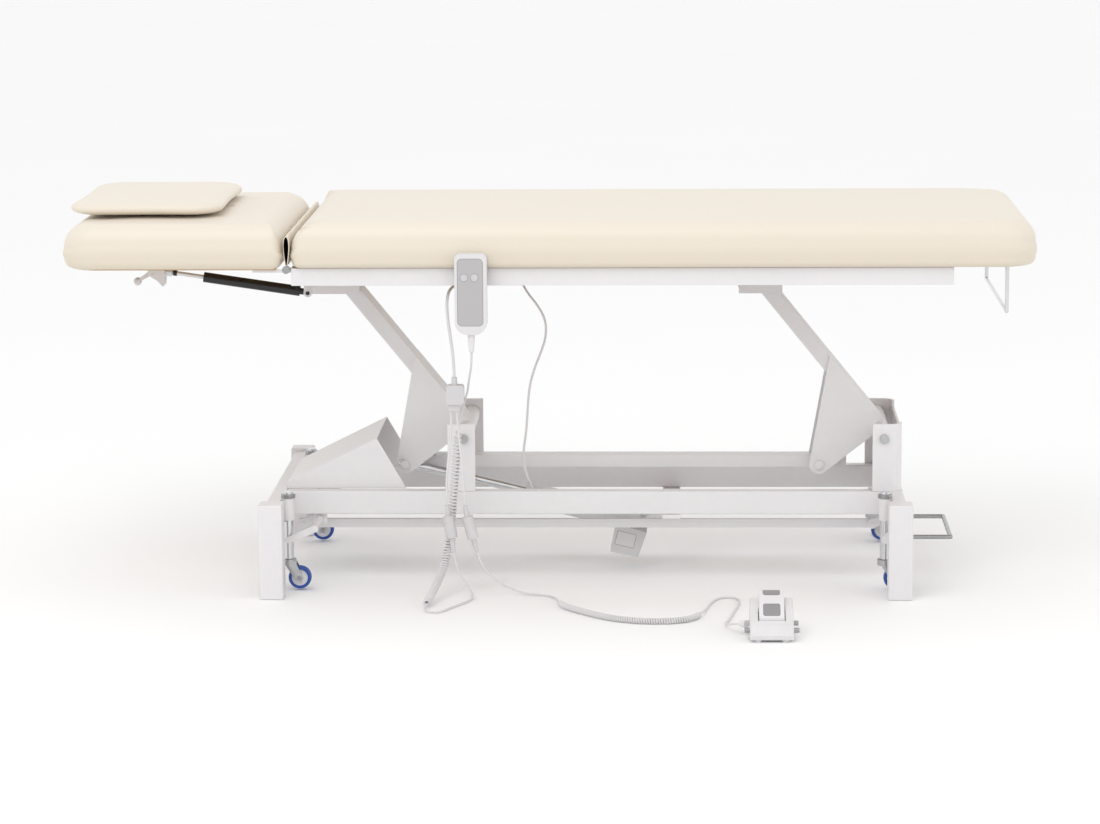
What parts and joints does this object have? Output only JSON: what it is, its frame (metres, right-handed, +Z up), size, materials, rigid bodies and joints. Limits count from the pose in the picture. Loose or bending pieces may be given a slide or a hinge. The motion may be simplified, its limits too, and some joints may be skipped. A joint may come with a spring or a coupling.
{
  "type": "massage table",
  "caption": "Height-adjustable padded treatment table with two parallel lift arms, tilting head section, electric actuator, handset, foot switch and retractable castors.",
  "frame": {"origin": "on the floor, under the centre of the bounding box of the table and its foot switch", "axes": "+X from the head end to the foot end, +Y away from the handset's side, +Z up"},
  "size_m": [2, 1.076, 0.8143],
  "materials": {
    "steel_white": "semi-gloss white powder coat",
    "vinyl_cream": "soft satin vinyl",
    "plywood": "raw plywood",
    "chrome_steel": "polished",
    "black_steel": "gloss black",
    "zinc_steel": "zinc plated",
    "actuator_grey": "fine matt",
    "case_grey": "fine matt",
    "cable_grey": "smooth satin",
    "button_grey": "satin",
    "tyre_blue": "satin",
    "fork_white": "satin",
    "knob_black": "gloss"
  },
  "bodies": {
    "base": {"near_rail": "steel_white", "far_rail": "steel_white", "left_end_frame": "steel_white", "right_end_frame": "steel_white", "left_post": "steel_white", "right_post": "steel_white", "wedge_cover": "steel_white", "actuator_bar": "steel_white", "pivot_axles": "zinc_steel", "castor_carriers": "steel_white", "foot_switch_housing": "case_grey", "foot_switch_fittings": "case_grey", "foot_cord_upper": "cable_grey", "foot_coil": "cable_grey", "foot_cord_lower": "cable_grey"},
    "left_arm": {"left_lift_arm": "steel_white"},
    "right_arm": {"right_lift_arm": "steel_white"},
    "tie": {"tie_bar": "steel_white"},
    "top": {"top_frame": "steel_white", "main_board": "plywood", "main_cushion": "vinyl_cream", "pivot_channels": "steel_white", "control_box": "actuator_grey", "paper_roll_holder": "chrome_steel", "gap_flap": "vinyl_cream", "trunk_cable": "cable_grey", "cable_first": "cable_grey", "cable_second": "cable_grey", "splitter": "case_grey", "connectors": "case_grey", "handset_cord_upper": "cable_grey", "handset_coil": "cable_grey", "handset_cord_lower": "cable_grey", "actuator_cable": "cable_grey"},
    "head": {"head_board": "plywood", "head_cushion": "vinyl_cream", "head_brackets": "steel_white"},
    "pillow": {"pillow": "vinyl_cream"},
    "gas_cylinder": {"gas_cylinder": "black_steel"},
    "gas_rod": {"gas_rod": "chrome_steel"},
    "lever": {"release_lever": "knob_black"},
    "actuator": {"actuator_body": "actuator_grey"},
    "actuator_rod": {"actuator_rod": "chrome_steel"},
    "stems": {"castor_stems": "zinc_steel"},
    "left_shaft": {"left_shaft": "steel_white"},
    "right_shaft": {"right_shaft": "steel_white"},
    "link_bar": {"link_bar": "steel_white"},
    "handset": {"handset_case": "case_grey"},
    "button_up": {"handset_button_up": "button_grey"},
    "button_down": {"handset_button_down": "button_grey"},
    "rocker": {"foot_switch_rocker": "button_grey"},
    "fork_near_left": {"castor_fork_near_left": "fork_white"},
    "wheel_near_left": {"castor_wheel_near_left": "tyre_blue"},
    "fork_far_left": {"castor_fork_far_left": "fork_white"},
    "wheel_far_left": {"castor_wheel_far_left": "tyre_blue"},
    "fork_near_right": {"castor_fork_near_right": "fork_white"},
    "wheel_near_right": {"castor_wheel_near_right": "tyre_blue"},
    "fork_far_right": {"castor_fork_far_right": "fork_white"},
    "wheel_far_right": {"castor_wheel_far_right": "tyre_blue"}
  },
  "joints": [
    {"name": "lift", "type": "hinge", "parent": "base", "child": "left_arm", "pos_m": [-0.184, 0.187, 0.306], "axis": [0, 1, 0], "range_deg": [-39, 18]},
    {"name": "right_arm_turn", "type": "hinge", "parent": "base", "child": "right_arm", "pos_m": [0.699, 0.187, 0.306], "axis": [0, 1, 0], "range_deg": [-40, 19]},
    {"name": "tie_bar_turn", "type": "hinge", "parent": "left_arm", "child": "tie", "pos_m": [-0.316, 0.187, 0.229], "axis": [0, 1, 0], "range_deg": [-19, 40]},
    {"name": "top_level", "type": "hinge", "parent": "left_arm", "child": "top", "pos_m": [-0.44328, 0.187, 0.62618], "axis": [0, 1, 0], "range_deg": [-19, 40]},
    {"name": "actuator_turn", "type": "hinge", "parent": "base", "child": "actuator", "pos_m": [0.208, 0.162, 0.104], "axis": [0, 1, 0], "range_deg": [-7, 3.5]},
    {"name": "actuator_stroke", "type": "slide", "parent": "actuator", "child": "actuator_rod", "axis": [-0.9727, 0, 0.2321], "range_m": [-0.083, 0.039]},
    {"name": "head_tilt", "type": "hinge", "parent": "top", "child": "head", "pos_m": [-0.536, 0.187, 0.68398], "axis": [0, 1, 0], "range_deg": [-35, 20], "deforming": ["gap_flap"]},
    {"name": "pillow_lift", "type": "slide", "parent": "head", "child": "pillow", "axis": [0, 0, 1], "range_m": [0, 0.12]},
    {"name": "gas_spring_turn", "type": "hinge", "parent": "top", "child": "gas_cylinder", "pos_m": [-0.523, 0.187, 0.59498], "axis": [0, 1, 0], "range_deg": [-34, 20]},
    {"name": "gas_spring_stroke", "type": "slide", "parent": "gas_cylinder", "child": "gas_rod", "axis": [-0.9891, 0, 0.1469], "range_m": [-0.0535, 0.031]},
    {"name": "release_lever_turn", "type": "hinge", "parent": "head", "child": "lever", "pos_m": [-0.855, 0.187, 0.63598], "axis": [0, 1, 0], "range_deg": [0, 10], "stiffness_Nm_per_rad": 1.5, "springref_deg": -5.73},
    {"name": "pedal_turn", "type": "hinge", "parent": "base", "child": "right_shaft", "pos_m": [0.717, 0.187, 0.134], "axis": [0, 1, 0], "range_deg": [-22, 0]},
    {"name": "left_shaft_turn", "type": "hinge", "parent": "base", "child": "left_shaft", "pos_m": [-0.49, 0.187, 0.134], "axis": [0, 1, 0], "range_deg": [-23, 1]},
    {"name": "link_bar_turn", "type": "hinge", "parent": "right_shaft", "child": "link_bar", "pos_m": [0.677, 0.187, 0.117], "axis": [0, 1, 0], "range_deg": [-1, 23]},
    {"name": "castor_drop", "type": "slide", "parent": "base", "child": "stems", "axis": [0, 0, -1], "range_m": [-0.001, 0.021]},
    {"name": "swivel_near_left", "type": "hinge", "parent": "stems", "child": "fork_near_left", "pos_m": [-0.547, -0.063, 0.06], "axis": [0, 0, 1], "continuous": true},
    {"name": "wheel_spin_near_left", "type": "hinge", "parent": "fork_near_left", "child": "wheel_near_left", "pos_m": [-0.525, -0.063, 0.0275], "axis": [0, 1, 0], "continuous": true},
    {"name": "swivel_far_left", "type": "hinge", "parent": "stems", "child": "fork_far_left", "pos_m": [-0.547, 0.437, 0.06], "axis": [0, 0, 1], "continuous": true},
    {"name": "wheel_spin_far_left", "type": "hinge", "parent": "fork_far_left", "child": "wheel_far_left", "pos_m": [-0.525, 0.437, 0.0275], "axis": [0, 1, 0], "continuous": true},
    {"name": "swivel_near_right", "type": "hinge", "parent": "stems", "child": "fork_near_right", "pos_m": [0.697, -0.063, 0.06], "axis": [0, 0, 1], "continuous": true},
    {"name": "wheel_spin_near_right", "type": "hinge", "parent": "fork_near_right", "child": "wheel_near_right", "pos_m": [0.719, -0.063, 0.0275], "axis": [0, 1, 0], "continuous": true},
    {"name": "swivel_far_right", "type": "hinge", "parent": "stems", "child": "fork_far_right", "pos_m": [0.697, 0.437, 0.06], "axis": [0, 0, 1], "continuous": true},
    {"name": "wheel_spin_far_right", "type": "hinge", "parent": "fork_far_right", "child": "wheel_far_right", "pos_m": [0.719, 0.437, 0.0275], "axis": [0, 1, 0], "continuous": true},
    {"name": "handset_off", "type": "slide", "parent": "top", "child": "handset", "axis": [0, -1, 0], "range_m": [0, 0.06]},
    {"name": "button_up_press", "type": "slide", "parent": "handset", "child": "button_up", "axis": [0, 1, 0], "range_m": [0, 0.0012], "stiffness_N_per_m": 600, "springref_m": -0.0005},
    {"name": "button_down_press", "type": "slide", "parent": "handset", "child": "button_down", "axis": [0, 1, 0], "range_m": [0, 0.0012], "stiffness_N_per_m": 600, "springref_m": -0.0005},
    {"name": "foot_rocker_turn", "type": "hinge", "parent": "base", "child": "rocker", "pos_m": [0.452, -0.473, 0.048], "axis": [1, 0, 0], "range_deg": [-5, 5], "stiffness_Nm_per_rad": 3}
  ],
  "couplings": [
    {"joint": "right_arm_turn", "follows": "lift", "ratio": 1},
    {"joint": "tie_bar_turn", "follows": "lift", "ratio": -1},
    {"joint": "top_level", "follows": "lift", "ratio": -1},
    {"joint": "actuator_turn", "follows": "lift", "ratio": 0.17},
    {"joint": "actuator_stroke", "follows": "lift", "m_per_rad": 0.12032},
    {"joint": "gas_spring_turn", "follows": "head_tilt", "ratio": 0.95},
    {"joint": "gas_spring_stroke", "follows": "head_tilt", "m_per_rad": 0.085944},
    {"joint": "left_shaft_turn", "follows": "pedal_turn", "ratio": 1},
    {"joint": "link_bar_turn", "follows": "pedal_turn", "ratio": -1},
    {"joint": "castor_drop", "follows": "pedal_turn", "m_per_rad": -0.052087}
  ]
}
